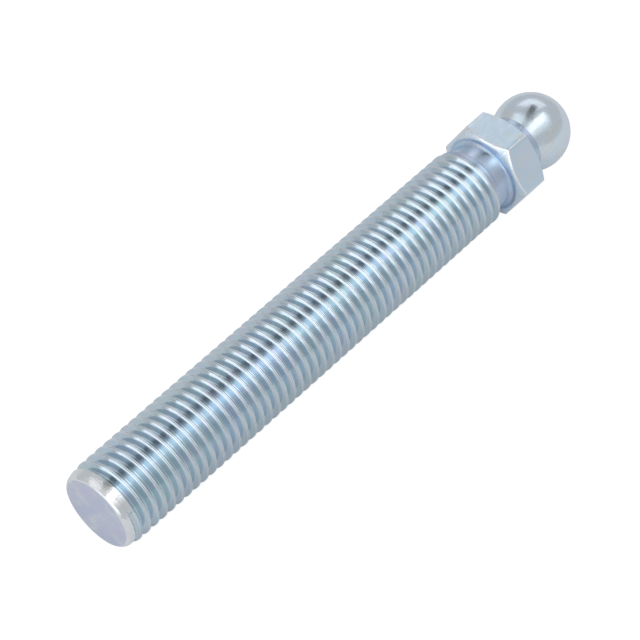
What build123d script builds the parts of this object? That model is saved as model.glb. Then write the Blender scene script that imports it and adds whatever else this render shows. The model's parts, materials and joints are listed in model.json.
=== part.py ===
"""Ball-ended threaded stud: the spindle of a levelling foot, one piece of zinc-plated steel.

From the plain end to the ball, along +X: a chamfered shank that carries an M16 x 2 thread,
a relief neck, a chamfered hexagon for a 17 mm spanner, a short neck and a 15 mm ball.
The origin is the middle of the plain end, the axis lies along +X, and +Z is up.
The stud lies on one flat of its hexagon, so two of the flats face straight up and down.
The threaded shank is a plain bar over the crests, as threads are usually left in CAD.
"""

from build123d import *
from math import radians, sqrt, tan
import os

# ------------------------------------------------------------ driving dimensions, mm and degrees
thread_d = 16.0  # over the crests
thread_l = 98.45  # from the plain end to the relief neck
end_face_d = 13.9  # the flat face of the plain end, inside its chamfer
end_chamfer_l = 3.0
runout_angle = 45.0  # slope of the cone that ends the thread at the relief neck

relief_d = 13.4
relief_l = 3.1  # from the thread to the underside of the hexagon
relief_fillet = 0.8

hex_flats = 17.0  # across flats
hex_l = 7.2
hex_face_d = 16.0  # flat ring inside the chamfer at each end of the hexagon
hex_chamfer_angle = 30.0

ball_d = 15.0
ball_reach = 7.2  # from the hexagon to the middle of the ball
ball_neck_d = 12.0
ball_neck_fillet = 0.4

# ------------------------------------------------------------ derived dimensions
thread_r = thread_d / 2
end_face_r = end_face_d / 2
relief_r = relief_d / 2
runout_l = (thread_r - relief_r) / tan(radians(runout_angle))

hex_start = thread_l + relief_l
hex_end = hex_start + hex_l
hex_corner_r = hex_flats / sqrt(3)
hex_face_r = hex_face_d / 2
hex_chamfer_l = (hex_corner_r - hex_face_r) * tan(radians(hex_chamfer_angle))

ball_r = ball_d / 2
ball_centre = hex_end + ball_reach
ball_neck_r = ball_neck_d / 2

# The fillet beside the ball is an arc that touches the neck and the ball from outside.
fillet_reach = ball_r + ball_neck_fillet  # from the ball's middle to the arc's middle
fillet_mid_r = ball_neck_r + ball_neck_fillet
fillet_mid_x = ball_centre - sqrt(fillet_reach**2 - fillet_mid_r**2)
ball_touch_x = ball_centre + (fillet_mid_x - ball_centre) * ball_r / fillet_reach
ball_touch_r = fillet_mid_r * ball_r / fillet_reach

# ------------------------------------------------------------ hexagon, chamfered at both ends
with BuildPart() as hexagon:
    with BuildSketch(Plane.YZ.offset(hex_start)):
        RegularPolygon(hex_flats / 2, 6, major_radius=False)
    extrude(amount=hex_l)
    with BuildSketch(Plane.XY):
        with BuildLine():
            Polyline(
                (hex_start, 0),
                (hex_start, hex_face_r),
                (hex_start + hex_chamfer_l, hex_corner_r),
                (hex_end - hex_chamfer_l, hex_corner_r),
                (hex_end, hex_face_r),
                (hex_end, 0),
                close=True,
            )
        make_face()
    revolve(axis=Axis.X, mode=Mode.INTERSECT)

# ------------------------------------------------------------ the stud, one piece of steel
# Everything turned is one outline: shank, run-out cone, relief neck with its fillet, the core
# of the hexagon, the ball's neck with its fillet, and the ball.
with BuildPart() as ball_stud:
    with BuildSketch(Plane.XY):
        with BuildLine():
            Polyline(
                (0, 0),
                (0, end_face_r),
                (end_chamfer_l, thread_r),
                (thread_l - runout_l, thread_r),
                (thread_l, relief_r),
                (hex_start - relief_fillet, relief_r),
            )
            relief_corner = (hex_start, relief_r + relief_fillet)
            TangentArc((hex_start - relief_fillet, relief_r), relief_corner, tangent=(1, 0))
            Polyline(relief_corner, (hex_end, ball_neck_r), (fillet_mid_x, ball_neck_r))
            ball_touch = (ball_touch_x, ball_touch_r)
            TangentArc((fillet_mid_x, ball_neck_r), ball_touch, tangent=(1, 0))
            ThreePointArc(ball_touch, (ball_centre, ball_r), (ball_centre + ball_r, 0))
            Line((ball_centre + ball_r, 0), (0, 0))
        make_face()
    revolve(axis=Axis.X)
    add(hexagon.part)

ball_stud.part.label = "ball_stud"
os.makedirs("parts", exist_ok=True)
export_step(ball_stud.part, "parts/ball_stud.step")
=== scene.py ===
# %% [markdown]
# # A ball-ended threaded stud
#
# The real object is the spindle of a levelling foot: one bar of steel, turned, rolled and
# zinc plated. It has a chamfered plain end, a long M16 x 2 right-hand thread, a relief neck,
# a chamfered hexagon for a spanner, a short neck and a ball.
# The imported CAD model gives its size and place, and this file gives it its finish.

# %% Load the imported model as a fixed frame
import json
import math

import bmesh
import bpy
import numpy as np
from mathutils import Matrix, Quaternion, Vector


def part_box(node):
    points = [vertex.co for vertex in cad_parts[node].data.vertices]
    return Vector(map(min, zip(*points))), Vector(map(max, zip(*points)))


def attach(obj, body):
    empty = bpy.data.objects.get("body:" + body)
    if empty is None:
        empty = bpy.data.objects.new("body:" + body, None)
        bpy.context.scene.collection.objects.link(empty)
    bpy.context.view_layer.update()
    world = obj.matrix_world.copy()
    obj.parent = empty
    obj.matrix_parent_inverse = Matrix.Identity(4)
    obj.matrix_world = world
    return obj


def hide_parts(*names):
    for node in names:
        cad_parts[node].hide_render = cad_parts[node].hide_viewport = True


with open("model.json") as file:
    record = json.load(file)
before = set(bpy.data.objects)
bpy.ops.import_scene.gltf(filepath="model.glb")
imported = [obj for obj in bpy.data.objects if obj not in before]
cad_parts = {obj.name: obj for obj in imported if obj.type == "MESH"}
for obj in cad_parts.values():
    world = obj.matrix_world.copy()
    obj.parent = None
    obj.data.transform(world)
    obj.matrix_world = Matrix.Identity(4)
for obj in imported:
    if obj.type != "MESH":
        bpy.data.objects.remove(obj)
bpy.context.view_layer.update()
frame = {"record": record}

low, high = (Vector(corner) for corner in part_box("ball_stud"))
print("the stud runs from", tuple(low), "to", tuple(high))

# %% [markdown]
# ## The sizes
#
# Everything is in metres, in the same frame as the CAD model: the origin is the middle of the
# plain end and +X runs along the stud to the ball. The overall sizes are read from the frame,
# and what the frame doesn't hold, such as the form of the thread, is named here once.

# %% Sizes of the stud
MM = 0.001
mounts = {mount["name"]: mount for mount in frame["record"]["mounts"]}

thread_r = mounts["thread"]["dims"]["r_mm"] * MM
pitch = 2.0 * MM
crest_flat = 0.3 * MM  # the land left between two turns of the groove
root_r = thread_r - 0.6134 * pitch
first_groove = 1.04 * MM  # where the groove first crosses the top line
flank_slope = math.tan(math.radians(30))

end_face_r = 6.95 * MM
end_chamfer_l = 3.0 * MM
relief_r = 6.7 * MM
runout_l = thread_r - relief_r  # a cone at 45 degrees
relief_fillet = 0.8 * MM

hex_apothem = high.z
hex_l = mounts["hexagon"]["dims"]["length_mm"] * MM
hex_start = mounts["hexagon_underside"]["pos_m"][0]
hex_end = hex_start + hex_l
hex_face_r = 8.0 * MM
hex_chamfer_slope = math.tan(math.radians(30))
thread_l = hex_start - 3.1 * MM

ball_r = mounts["ball"]["dims"]["r_mm"] * MM
ball_x = mounts["ball"]["pos_m"][0]
ball_neck_r = 6.0 * MM
print("ball centre", ball_x, "and far side", ball_x + ball_r, "against", high.x)

# %% [markdown]
# ## A mesh made of rings
#
# Every part of the stud is round about one axis or nearly so, which suits a mesh made of rings:
# each ring has the same number of points around the axis, and each point has a place along the
# axis and a radius. A ring of a turned surface has one radius all round. A ring on the hexagon
# has a radius that grows towards the corners. A ring on the thread creeps along the axis by one
# pitch in a turn, and so ends where the ring one turn further on begins. That last rule is all
# that a screw thread is. The points around the axis stand closer together at the six corners of
# the hexagon, so that its flats stay flat right up to a narrow round on each corner.

# %% The ring mesh
columns = 102
corner_step = 0.8
in_sector = np.concatenate([[0, corner_step], np.linspace(4, 56, columns // 6 - 3), [60 - corner_step]])
angles = np.radians(np.concatenate([in_sector + 60 * sector for sector in range(6)]))


def ring(x, r):
    """One ring: places along the axis and radii, each a number or one value for each column."""
    return np.stack([np.full(columns, 0.0) + x, np.full(columns, 0.0) + r])


def ring_points(rings):
    """The points in space of a stack of rings."""
    stack = np.array(rings)
    x, r = stack[:, 0], stack[:, 1]
    return np.stack([x, r * np.cos(angles), r * np.sin(angles)], axis=2).reshape(-1, 3)


def ring_faces(count, first):
    """The four-sided faces between each ring and the next."""
    faces = []
    for row in range(count - 1):
        a = first + row * columns
        b = a + columns
        for i in range(columns):
            j = (i + 1) % columns
            faces.append((a + i, a + j, b + j, b + i))
    return faces


# %% [markdown]
# ## Rounded corners
#
# No edge on plated steel is perfectly sharp, and the small round on an edge is what catches the
# light as a bright line. The helper takes the corners of an outline, with a radius for each, and
# puts a short arc in place of each corner.

# %% Round the corners of an outline
STRAIGHT = 1e-4  # a corner that turns by less than this is left as it is


def rounded(corners, steps):
    """Corners are (x, r, radius); the result is a list of (x, r) points."""
    points = []
    last = len(corners) - 1
    for i, (x, r, radius) in enumerate(corners):
        here = Vector((x, r))
        if radius == 0 or i in (0, last):
            points.append(here)
            continue
        back = (Vector(corners[i - 1][:2]) - here).normalized()
        ahead = (Vector(corners[i + 1][:2]) - here).normalized()
        half = back.angle(ahead) / 2
        middle = here + (back + ahead).normalized() * radius / math.sin(half)
        start = here + back * radius / math.tan(half) - middle
        end = here + ahead * radius / math.tan(half) - middle
        for step in range(steps + 1):
            t = step / steps
            arm = start.slerp(end, t) if start.angle(end) > STRAIGHT else start
            points.append(middle + arm.normalized() * radius)
    return points


# %% [markdown]
# ## The thread
#
# The groove of the thread is a V of 60 degrees with a flat floor. A rolled thread is pressed out
# of the bar, and the metal rises along both flanks, so each crest is two round lips with a
# shallow seam between them. The lips are what catches the light as a pair of bright lines. The
# outline of one pitch is drawn once, from the middle of one crest to the middle of the next, and
# each of its points becomes a ring that creeps along the axis. At the plain end the groove
# starts shallow, and at both ends the thread is trimmed, so each point takes whichever radius
# is smaller, that of the thread or that of the trimmed bar.

# %% The outline of one pitch
land_edge = (pitch - crest_flat) / 2
floor_edge = land_edge - (thread_r - root_r) * flank_slope
seam_r = thread_r - 0.13 * MM
floor_round = 0.16 * MM
lip_round = 0.075 * MM
lip_r = thread_r + 0.045 * MM  # the corner of a lip, before it is rounded
lip_x = land_edge - 0.01 * MM
groove = rounded(
    [
        (-pitch / 2, seam_r, 0),
        (-lip_x, lip_r, lip_round),
        (-floor_edge, root_r, floor_round),
        (floor_edge, root_r, floor_round),
        (lip_x, lip_r, lip_round),
        (pitch / 2, seam_r, 0),
    ],
    steps=3,
)
groove = groove[:-1]
rows_per_pitch = len(groove)
print("points in one pitch", rows_per_pitch)

# %% [markdown]
# ## The bar under the thread
#
# The bar is turned before it is rolled. A chamfer at the plain end helps the thread to start in a
# nut, and a cone leads down to the relief neck. A boolean could cut the thread to this shape, but
# along a helix it leaves slivers. Here each point of the thread is held down to the radius of the
# bar at its place, which needs no cutting and keeps the mesh clean.

# %% The bar that the thread is trimmed to
edge_share = 0.04  # the sharp edge at each end of the bar stays outside the thread
trim_start = edge_share * end_chamfer_l
trim_end = thread_l - edge_share * runout_l
fade_from = 0.12
fade_over = 0.9
chamfer_places = np.array([0, 0.05, 0.17, 0.5, 1.1]) * end_chamfer_l
chamfer_radii = np.interp([0, 0.2, 0.45, 0.72, 1], (0, 1), (end_face_r, thread_r))


def cone_r(x):
    """The radius of the rounded chamfer, the full bar and the run-out cone at each place."""
    places = (*chamfer_places, thread_l - runout_l, thread_l)
    radii = (*chamfer_radii, thread_r, relief_r)
    return np.interp(x, places, radii)


def thread_depth(x):
    """How much of its full depth the groove has: it fades in over the chamfer."""
    share = np.clip((x - fade_from * end_chamfer_l) / (fade_over * end_chamfer_l), 0, 1)
    return share * share * (3 - 2 * share)


# %% [markdown]
# ## The whole thread
#
# The Screw modifier turns one outline around the axis and moves it along, which gives a thread
# too, but its ends stand open and have to be closed by hand. Creeping rings give the same helix.
# The stack starts before the plain end and runs on past the neck, so that the creep never leaves
# a gap, and the rings that reach past the ends are held there and become plain ones.

# %% The rings of the thread
spare_turns = 2
turns = int(math.ceil(thread_l / pitch)) + spare_turns + 1
top_line = math.pi / 2
creep = pitch * (angles - top_line) / (2 * math.pi)

thread_rings = []
for turn in range(-spare_turns, turns):
    for offset, radius in groove:
        along = first_groove + turn * pitch + offset + creep
        along = np.clip(along, trim_start, trim_end)
        cut_r = thread_r - (thread_r - radius) * thread_depth(along)
        thread_rings.append(ring(along, np.minimum(cut_r, cone_r(along))))
print("rings in the thread", len(thread_rings))


def thread_faces(count, first):
    """Faces of the thread: the last column joins the first one, one pitch further on."""
    faces = []
    for row in range(count - rows_per_pitch - 1):
        for i in range(columns):
            a = first + row * columns + i
            if i < columns - 1:
                b = a + 1
            else:
                b = first + (row + rows_per_pitch) * columns
            faces.append((a, b, b + columns, a + columns))
    return faces


# %% [markdown]
# ## The hexagon
#
# The hexagon takes a spanner, and a chamfer at each end takes off its sharp points. A six-sided
# cylinder cut with a cone would give it, but the cut would leave long thin faces that shade badly.
# As rings it fits the rest: on the flats a ring has the radius of a hexagon, which is the distance
# from the axis to the flat divided by the cosine of the angle from the flat's middle. The chamfer
# is a cone, so it meets each flat in a curved line: the ring on that line has the hexagon's radius
# and lies where the cone has reached it.

# %% Rings of the hexagon
hex_r = hex_apothem / np.cos(angles % math.radians(60) - math.radians(30))
edge_round = 0.25 * MM
corner_r = hex_apothem / math.cos(math.radians(30)) - 0.05 * MM
hex_r = np.minimum(hex_r, corner_r)
chamfer_reach = (hex_r - hex_face_r) * hex_chamfer_slope

hex_rings = [
    ring(hex_start, hex_face_r - edge_round),
    ring(hex_start + 0.1 * edge_round, hex_face_r),
    ring(hex_start + chamfer_reach - 0.5 * edge_round, hex_r - edge_round),
    ring(hex_start + chamfer_reach + 0.5 * edge_round, hex_r),
    ring(hex_start + chamfer_reach + edge_round, hex_r),
    ring(hex_end - chamfer_reach - edge_round, hex_r),
    ring(hex_end - chamfer_reach - 0.5 * edge_round, hex_r),
    ring(hex_end - chamfer_reach + 0.5 * edge_round, hex_r - edge_round),
    ring(hex_end - 0.1 * edge_round, hex_face_r),
    ring(hex_end, hex_face_r - edge_round),
]
print("across the corners", 2 * hex_r.max(), "and across the flats", 2 * hex_apothem)

# %% [markdown]
# ## The plain end, the necks and the ball
#
# These are turned on a lathe, so their rings have one radius all round. A sphere and a few
# cylinders would give the same forms, but they would have to be joined to the rest. As rings they
# run on from their neighbours, with a small round in each inner corner, as a lathe tool leaves it.

# %% Rings of the turned parts
end_edge_round = 0.1 * MM
runout_round = 0.15 * MM
neck_root_round = 0.35 * MM
ball_root_round = 0.3 * MM
end_disc = [ring(0, end_face_r * share) for share in (0.04, 0.25, 0.5, 0.75, 0.95)]
end_edge = [ring(0.3 * trim_start, end_face_r - end_edge_round), ring(trim_start, cone_r(trim_start))]

relief = rounded(
    [
        (trim_end, cone_r(trim_end), 0),
        (thread_l, relief_r, runout_round),
        (hex_start, relief_r, relief_fillet),
        (hex_start, hex_face_r - edge_round, 0),
    ],
    steps=6,
)

neck_meets_ball = ball_x - math.sqrt(ball_r**2 - ball_neck_r**2)
past_the_round = math.radians(2)
ball_start = math.acos(ball_neck_r / ball_r) - past_the_round
ball_neck = rounded(
    [
        (hex_end, hex_face_r - edge_round, 0),
        (hex_end, ball_neck_r, neck_root_round),
        (neck_meets_ball, ball_neck_r, ball_root_round),
        (ball_x - ball_r * math.sin(ball_start), ball_r * math.cos(ball_start), 0),
    ],
    steps=5,
)
ball_steps = 48
ball_rings = []
for step in range(1, ball_steps):
    tilt = -ball_start + (math.pi / 2 + ball_start) * step / ball_steps
    ball_rings.append(ring(ball_x + ball_r * math.sin(tilt), ball_r * math.cos(tilt)))
print("rings on the hexagon", len(hex_rings), "and on the ball", len(ball_rings))

# %% [markdown]
# ## One closed mesh
#
# The real stud is one piece of steel, so it is one mesh. All the rings lie in one stack from the
# plain end to the ball, and a single point closes the stack at each end.

# %% Put the rings together
before = end_disc + end_edge
after = [ring(*point) for point in relief[1:-1]] + hex_rings
after += [ring(*point) for point in ball_neck[1:]] + ball_rings

stack = before + thread_rings + after
points = ring_points(stack)
faces = ring_faces(len(before) + 1, 0)
thread_first = len(before) * columns
faces += thread_faces(len(thread_rings), thread_first)
after_first = thread_first + (len(thread_rings) - 1) * columns
faces += ring_faces(len(after) + 1, after_first)

near_pole = len(points)
far_pole = near_pole + 1
points = np.vstack([points, [(0, 0, 0), (ball_x + ball_r, 0, 0)]])
last_ring = near_pole - columns
for i in range(columns):
    j = (i + 1) % columns
    faces.append((near_pole, j, i))
    faces.append((far_pole, last_ring + i, last_ring + j))

mesh = bpy.data.meshes.new("ball_stud_form")
mesh.from_pydata(points.tolist(), [], faces)
print("points", len(points), "and faces", len(faces))

# %% [markdown]
# Some of the rings that were held at the ends lie on each other. Points at the same place are
# merged, and faces without any area are dropped. In a closed mesh every edge has exactly two
# faces, so the edges that don't are counted, and there should be none.

# %% Merge, count and measure
SAME_PLACE = 1e-7
NO_LENGTH = 1e-8
work = bmesh.new()
work.from_mesh(mesh)
bmesh.ops.remove_doubles(work, verts=work.verts, dist=SAME_PLACE)
bmesh.ops.dissolve_degenerate(work, edges=work.edges, dist=NO_LENGTH)
loose = [vert for vert in work.verts if not vert.link_faces]
bmesh.ops.delete(work, geom=loose, context="VERTS")
bmesh.ops.recalc_face_normals(work, faces=work.faces)
open_edges = sum(1 for edge in work.edges if len(edge.link_faces) != 2)
triangles = sum(len(face.verts) - 2 for face in work.faces)
print("triangles", triangles, "and edges without two faces", open_edges)
print("volume in cubic millimetres", work.calc_volume() / MM**3)
work.to_mesh(mesh)
work.free()

# %% [markdown]
# Smooth shading hides the small faces, and edges that turn by more than the given angle stay
# crisp. The finished piece then takes the place of the plain CAD solid in the frame.

# %% Shade it and put it in the frame
mesh.shade_smooth()
mesh.set_sharp_from_angle(angle=math.radians(38))
stud = bpy.data.objects.new("ball_stud_body", mesh)
bpy.context.collection.objects.link(stud)
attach(stud, "root")
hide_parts("ball_stud")

# %% [markdown]
# ## The finish
#
# Bright zinc with a blue passivation is a metal with a cool tint. The passivation is a film so
# thin that its colour drifts with its thickness, from blue to lavender to grey green. Where light
# bounces twice, as in the groove of the thread, the tint is multiplied, which is why the groove
# looks bluer than the lands. One function makes the plating, and each kind of surface under the
# zinc gets its own copy: rolled thread, turned chamfer and faces, milled flats, polished ball.

# %% Helpers for nodes
def new_node(tree, kind, **inputs):
    """Add a node and set some of its inputs, named with _ for a space."""
    node = tree.nodes.new(kind)
    for name, value in inputs.items():
        node.inputs[name.replace("_", " ")].default_value = value
    return node


def noise(tree, place, scale, detail=3.0):
    """Cloudy noise, with about that many clouds to the metre."""
    node = new_node(tree, "ShaderNodeTexNoise", Scale=scale, Detail=detail)
    tree.links.new(place, node.inputs["Vector"])
    return node.outputs["Fac"]


def ramp(tree, value, low_high, result):
    """Stretch a value from one range to another, and hold it there."""
    node = tree.nodes.new("ShaderNodeMapRange")
    for name, number in zip(("From Min", "From Max", "To Min", "To Max"), low_high + result):
        node.inputs[name].default_value = number
    tree.links.new(value, node.inputs["Value"])
    return node.outputs["Result"]


def tinted(tree, share, first, second):
    """Mix two colours; each may be a socket or a constant."""
    node = tree.nodes.new("ShaderNodeMix")
    node.data_type = "RGBA"
    factor, a, b = node.inputs[0], node.inputs[6], node.inputs[7]
    tree.links.new(share, factor)
    for socket, colour in ((a, first), (b, second)):
        if isinstance(colour, tuple):
            socket.default_value = (*colour, 1)
        else:
            tree.links.new(colour, socket)
    return node.outputs[2]


# %% [markdown]
# ### Colour, height and haze
#
# The colour drifts in three sizes: broad clouds from one film tint to another, smaller pale
# patches, and specks of dust under the zinc. The height is drawn as bump, because these marks are
# far smaller than a face of the mesh: fine grain everywhere, dents where pieces knock together
# in the plating drum, and tool lines where a lathe has turned. Bump reads nothing but one height,
# so grain, dents and lines are simply added up.

# %% The parts of the plating
def film_colour(tree, place, blue, lavender, pale):
    """The drifting tint of the passivation."""
    clouds = ramp(tree, noise(tree, place, 140), (0.38, 0.62), (0.0, 1.0))
    colour = tinted(tree, clouds, blue, lavender)
    patches = ramp(tree, noise(tree, place, 420, 5), (0.5, 0.68), (0.0, 0.6))
    colour = tinted(tree, patches, colour, pale)
    specks = ramp(tree, noise(tree, place, 3600, 2), (0.62, 0.74), (0.0, 0.35))
    return tinted(tree, specks, colour, tuple(0.55 * part for part in blue))


def added(tree, first, second, share=1.0):
    """One height plus a share of another."""
    node = tree.nodes.new("ShaderNodeMath")
    node.operation = "MULTIPLY_ADD"
    node.inputs[1].default_value = share
    tree.links.new(second, node.inputs[0])
    tree.links.new(first, node.inputs[2])
    return node.outputs[0]


def fine_height(tree, place, grain, dents, lines, wave):
    """Grain, dents and tool lines, each as high as its number says."""
    height = ramp(tree, noise(tree, place, 2600, 2), (0.3, 0.7), (0.0, grain))
    if dents:
        hollows = ramp(tree, noise(tree, place, 900, 2), (0.25, 0.75), (0.0, dents))
        height = added(tree, height, hollows)
    if lines:
        marks = new_node(tree, "ShaderNodeTexWave", Scale=900.0, Distortion=1.5, Detail=1.0)
        marks.wave_type = wave
        marks.bands_direction = "X"
        marks.rings_direction = "X"
        tree.links.new(place, marks.inputs["Vector"])
        height = added(tree, height, marks.outputs["Fac"], lines)
    return height


# %% Zinc plating, one function for every surface
def zinc(name, blue, lavender, pale, rough, grain, dents=0.0, lines=0.0, wave="BANDS"):
    """Plated steel: three film tints, a range of roughness, fine grain, dents and tool lines."""
    material = bpy.data.materials.new(name)
    material.use_nodes = True
    tree = material.node_tree
    shader = tree.nodes["Principled BSDF"]
    shader.inputs["Metallic"].default_value = 1.0
    place = tree.nodes.new("ShaderNodeTexCoord").outputs["Object"]
    tree.links.new(film_colour(tree, place, blue, lavender, pale), shader.inputs["Base Color"])
    haze = ramp(tree, noise(tree, place, 700, 4), (0.35, 0.65), (rough - 0.05, rough + 0.07))
    tree.links.new(haze, shader.inputs["Roughness"])
    bump = new_node(tree, "ShaderNodeBump", Strength=1.0, Distance=0.01 * MM)
    tree.links.new(fine_height(tree, place, grain, dents, lines, wave), bump.inputs["Height"])
    tree.links.new(bump.outputs["Normal"], shader.inputs["Normal"])
    return material


# %% [markdown]
# ### Eight kinds of surface
#
# The zinc copies what lies under it. Rolling burnishes the grooves and the lips of the thread,
# turning leaves fine lines on the end face, the chamfer and the necks, and the flats of the
# hexagon stay dull and slightly dented. Lips, corners and the chamfer have the palest colours,
# partly from rubbing against other studs in the plating drum and partly as painted highlight,
# which makes them shine as bright lines and a white band. One material with masks could hold
# all this, but eight small ones are easier to read and to change.

# %% The eight finishes
BLUE = (0.60, 0.73, 0.85)
TEAL = (0.60, 0.74, 0.81)
LAVENDER = (0.68, 0.71, 0.85)
PALE = (0.82, 0.87, 0.91)
# These two pale tints, for lips, corners and the chamfer, are partly worn zinc and partly painted
# highlight.
WORN_PALE_AND_PAINTED_HIGHLIGHT = (0.88, 0.92, 0.96)
WORN_WHITE_AND_PAINTED_HIGHLIGHT = (0.95, 0.97, 1.0)
STRAW = (0.83, 0.86, 0.85)
# Pale for the chamfer: partly worn zinc, partly painted highlight.
RUBBED_PALE_AND_PAINTED_HIGHLIGHT = (0.84, 0.90, 0.95)
# Near white for the hexagon's corners: partly worn zinc, partly painted highlight.
EDGE_WHITE_AND_PAINTED_HIGHLIGHT = (0.90, 0.96, 1.0)
FACE_BLUE = (0.65, 0.71, 0.89)
FACE_LAVENDER = (0.70, 0.74, 0.88)
DEEP_BLUE = (0.52, 0.69, 0.87)
DEEP_LAVENDER = (0.58, 0.66, 0.85)
FLAT_BLUE = (0.70, 0.86, 1.0)
FLAT_GREY = (0.77, 0.86, 1.0)
BALL_BLUE = (0.76, 0.89, 0.98)
BALL_GREY = (0.77, 0.87, 1.0)

finishes = {
    "rolled_thread": zinc("rolled_thread_zinc", BLUE, TEAL, LAVENDER, rough=0.17, grain=0.12),
    # Pale lips: partly worn zinc, partly a painted highlight that draws their pair of bright lines.
    "crest": zinc("burnished_crest_zinc_and_painted_highlight", WORN_WHITE_AND_PAINTED_HIGHLIGHT, WORN_PALE_AND_PAINTED_HIGHLIGHT, WORN_PALE_AND_PAINTED_HIGHLIGHT, rough=0.20, grain=0.3),
    "end_face": zinc(
        "turned_face_zinc", FACE_BLUE, FACE_LAVENDER, PALE, rough=0.34, grain=0.5, lines=0.2, wave="RINGS"
    ),
    # The chamfer is white partly from wear and partly as a painted highlight, the bright band that light
    # leaves on it.
    "chamfer": zinc(
        "turned_chamfer_zinc_and_painted_highlight", WORN_WHITE_AND_PAINTED_HIGHLIGHT, RUBBED_PALE_AND_PAINTED_HIGHLIGHT, WORN_PALE_AND_PAINTED_HIGHLIGHT, rough=0.22, grain=0.8, dents=3.0, lines=0.3
    ),
    "turned": zinc(
        "turned_neck_zinc", DEEP_BLUE, DEEP_LAVENDER, LAVENDER, rough=0.28, grain=0.15, lines=0.15
    ),
    "flats": zinc("milled_flat_zinc", FLAT_BLUE, FLAT_GREY, STRAW, rough=0.36, grain=0.5, dents=1.5),
    # The corners of the hexagon are pale partly from wear and partly as a painted highlight that draws
    # their bright lines.
    "edge": zinc("worn_edge_zinc_and_painted_highlight", EDGE_WHITE_AND_PAINTED_HIGHLIGHT, WORN_PALE_AND_PAINTED_HIGHLIGHT, WORN_PALE_AND_PAINTED_HIGHLIGHT, rough=0.22, grain=1.2, dents=2.0),
    "ball": zinc("polished_ball_zinc", BALL_BLUE, BALL_GREY, STRAW, rough=0.22, grain=0.25, dents=1.0),
}
print("finishes", list(finishes))

# %% [markdown]
# Each face of the mesh takes its finish from where it lies: on the end face, on its chamfer,
# along the thread, on a neck, on the hexagon or on the ball.

# %% Give each face its finish
lip_band = 0.07 * MM  # how far below the crests the lips reach
chamfer_band = 0.1 * MM  # how far under the chamfer a face may lie and still be part of it
end_face_band = 0.02 * MM
chamfer_end = 0.8 * end_chamfer_l
order = list(finishes)
for material in finishes.values():
    mesh.materials.append(material)


def finish_of(face):
    """The name of the finish at a face, from its place on the stud and its radius."""
    x, y, z = face.center
    r = math.hypot(y, z)
    if x < end_face_band:
        return "end_face"
    # The chamfer takes the pale finish, whose colour is partly painted highlight.
    if x < chamfer_end and r > cone_r(x) - chamfer_band:
        return "chamfer"
    if x < thread_l - runout_l:
        # The lips take the pale finish, whose colour is partly painted highlight.
        return "crest" if r > thread_r - lip_band else "rolled_thread"
    if x < hex_start:
        return "turned"
    if x <= hex_end:
        from_corner = math.degrees(math.atan2(z, y)) % 60
        flat_r = hex_apothem / math.cos(math.radians(from_corner - 30))
        reach = (flat_r - hex_face_r) * hex_chamfer_slope
        from_chamfer = min(abs(x - hex_start - reach), abs(hex_end - reach - x))
        on_corner = min(from_corner, 60 - from_corner) < corner_step
        # Corners and chamfer edges take the pale finish, whose colour is partly painted highlight.
        return "edge" if on_corner or from_chamfer < 0.2 * edge_round else "flats"
    if x < neck_meets_ball:
        return "turned"
    return "ball"


counts = dict.fromkeys(order, 0)
for face in mesh.polygons:
    kind = finish_of(face)
    face.material_index = order.index(kind)
    counts[kind] += 1
print("faces of each finish", counts)

# %% [markdown]
# ## Floor, light and camera
#
# Small bright metal is best lit in a white tent, or else it shows the dark room around it.
# A plane is enough for the floor, because what the camera sees past its edge is white too. It
# isn't part of the stud.

# %% Helpers for the stage
def flat_sheet(name, corners):
    """One flat sheet with four corners."""
    sheet_mesh = bpy.data.meshes.new(name)
    sheet_mesh.from_pydata([tuple(corner) for corner in corners], [], [(0, 1, 2, 3)])
    sheet = bpy.data.objects.new(name, sheet_mesh)
    bpy.context.collection.objects.link(sheet)
    return sheet


def matt(name, shade):
    """A grey without any gloss."""
    material = bpy.data.materials.new(name)
    material.use_nodes = True
    shader = material.node_tree.nodes["Principled BSDF"]
    shader.inputs["Base Color"].default_value = (shade, shade, shade, 1)
    shader.inputs["Roughness"].default_value = 1.0
    shader.inputs["Specular IOR Level"].default_value = 0.0
    return material


# %% Floor
floor_reach = 3.0
around = [(-1, -1), (1, -1), (1, 1), (-1, 1)]
floor = flat_sheet("floor", [(floor_reach * x, floor_reach * y, low.z) for x, y in around])
print("floor at", low.z)

# %% [markdown]
# The floor is matt white. Seen by the camera, most of it glows evenly, so that it comes out as
# plain white, and the rest takes the light that falls on it, which keeps a faint shadow.

# %% Floor material
FLOOR_WHITE = 0.9
GLOW_SHARE = 0.6
GLOW_LEVEL = 1.45
white = matt("white_table", FLOOR_WHITE)
tree = white.node_tree
glow = new_node(tree, "ShaderNodeEmission", Strength=GLOW_LEVEL)
path = tree.nodes.new("ShaderNodeLightPath")
share = ramp(tree, path.outputs["Is Camera Ray"], (0.0, 1.0), (0.0, GLOW_SHARE))
mix = tree.nodes.new("ShaderNodeMixShader")
tree.links.new(share, mix.inputs[0])
tree.links.new(tree.nodes["Principled BSDF"].outputs[0], mix.inputs[1])
tree.links.new(glow.outputs[0], mix.inputs[2])
tree.links.new(mix.outputs[0], tree.nodes["Material Output"].inputs[0])
floor.data.materials.append(white)

# %% [markdown]
# ### The tent
#
# A tent is a box of white cloth that is lit from outside. Walls of cloth could be modelled, but
# they would stand in front of other cameras, so the world plays the tent. What the metal reflects
# of it is a pale grey, and only what the camera sees directly is pure white.

# %% The tent
TENT_LEVEL = 0.52
world = bpy.data.worlds.new("studio")
bpy.context.scene.world = world
world.use_nodes = True
tree = world.node_tree
background = tree.nodes["Background"]
background.inputs["Color"].default_value = (1, 1, 1, 1)
path = tree.nodes.new("ShaderNodeLightPath")
level = ramp(tree, path.outputs["Is Camera Ray"], (0.0, 1.0), (TENT_LEVEL, 1.0))
tree.links.new(level, background.inputs["Strength"])

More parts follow.
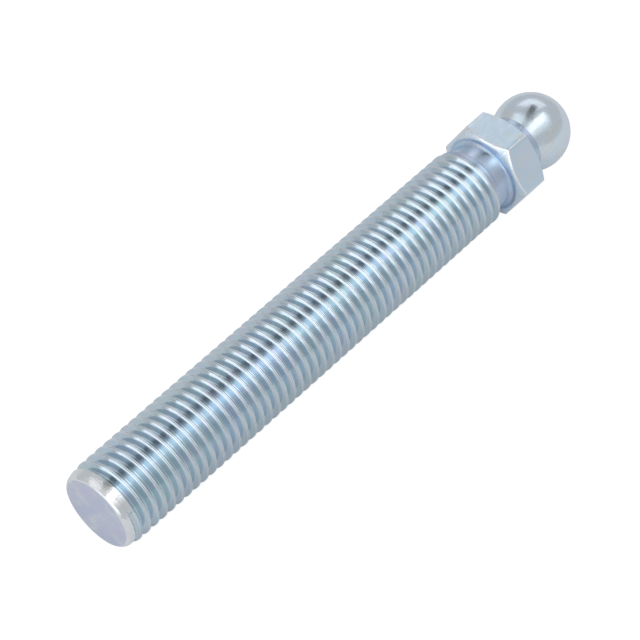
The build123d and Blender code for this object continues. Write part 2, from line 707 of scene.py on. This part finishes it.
# %% [markdown]
# ### Softboxes
#
# A softbox is a wide lamp behind cloth, and an area lamp does the same. Three weak ones overhead,
# on the right, on the left and at the far end, lift the tent a little. Two smaller lamps draw the
# bright band along the thread and the spots on the ball, and the one that stands before the plain
# end lights the lips of the thread. Lamps that overlap hang at different heights, because a
# reflected ray that meets two lamps at the same distance counts only one of them.

# %% Softboxes
def softbox(name, place, size, brightness, turn=(0, 0, 0)):
    """A soft lamp that faces straight down unless turned. Brightness is told against white paper."""
    lamp = bpy.data.lights.new(name, "AREA")
    lamp.shape = "RECTANGLE"
    lamp.size, lamp.size_y = size
    lamp.energy = brightness * math.pi * size[0] * size[1]
    holder = bpy.data.objects.new(name, lamp)
    holder.location = place
    holder.rotation_euler = turn
    bpy.context.collection.objects.link(holder)


RIGHT_BOX = 0.22
RIGHT_LAMP = 0.55
NEAR_LAMP = 0.45
LEFT_BOX = 0.36
FAR_BOX = 0.4
END_BOX = 0.8
softbox("right_softbox", (-0.05, -0.73, 1.0), (1.9, 1.0), RIGHT_BOX)
softbox("right_lamp", (0.15, -0.45, 0.97), (1.3, 0.5), RIGHT_LAMP)
softbox("near_lamp", (-0.95, -0.5, 0.94), (0.9, 0.6), NEAR_LAMP)
softbox("left_softbox", (-0.5, 0.65, 1.0), (0.9, 0.9), LEFT_BOX)
softbox("far_softbox", (1.15, 0.75, 1.02), (1.3, 1.4), FAR_BOX)
facing_the_end = (0, math.radians(-90), 0)
softbox("end_softbox", (-1.2, -0.05, 0.42), (0.8, 2.0), END_BOX, turn=facing_the_end)
print("lamps", len(bpy.data.lights))

# %% [markdown]
# ### The dark strip
#
# Round metal in an even white tent looks flat. A strip of dark cloth across the top gives the
# thread its dark band and the ball its dark spot. It is a sheet that reflections can see and the
# camera can't.

# %% The dark strip overhead
STRIP_LEVEL = 0.25
STRIP_WIDTH = 0.34
strip_from = Vector((-0.1, -0.01, 1.0))
strip_to = Vector((0.85, 0.38, 1.0))
across = (strip_to - strip_from).cross(Vector((0, 0, 1))).normalized() * STRIP_WIDTH / 2
strip_corners = [strip_from - across, strip_to - across, strip_to + across, strip_from + across]
strip = flat_sheet("strip", strip_corners)
strip.visible_camera = False
strip.data.materials.append(matt("dark_cloth", STRIP_LEVEL))

# %% [markdown]
# The camera stands far off with a long lens, so the stud's far end hardly shrinks. It looks down
# on the plain end, and it leans by a few degrees, as a camera held by hand does.

# %% Camera
bpy.context.scene.view_settings.view_transform = "Standard"
azimuth, elevation, lean = (math.radians(angle) for angle in (-46.41, 49.16, -2.87))
aim = Vector((54.33, -1.50, 1.72)) * MM
distance = 418.5 * MM
toward = Vector(
    (math.sin(azimuth) * math.cos(elevation), -math.cos(azimuth) * math.cos(elevation), math.sin(elevation))
)
camera_data = bpy.data.cameras.new("camera")
camera_data.lens = 134.3
camera_data.sensor_width = 36
camera_data.clip_start = 0.01
camera = bpy.data.objects.new("camera", camera_data)
camera.location = aim + toward * distance
level_view = (-toward).to_track_quat("-Z", "Y")
camera.rotation_euler = (level_view @ Quaternion((0, 0, 1), lean)).to_euler()
bpy.context.collection.objects.link(camera)
bpy.context.scene.camera = camera
print("camera at", tuple(camera.location))
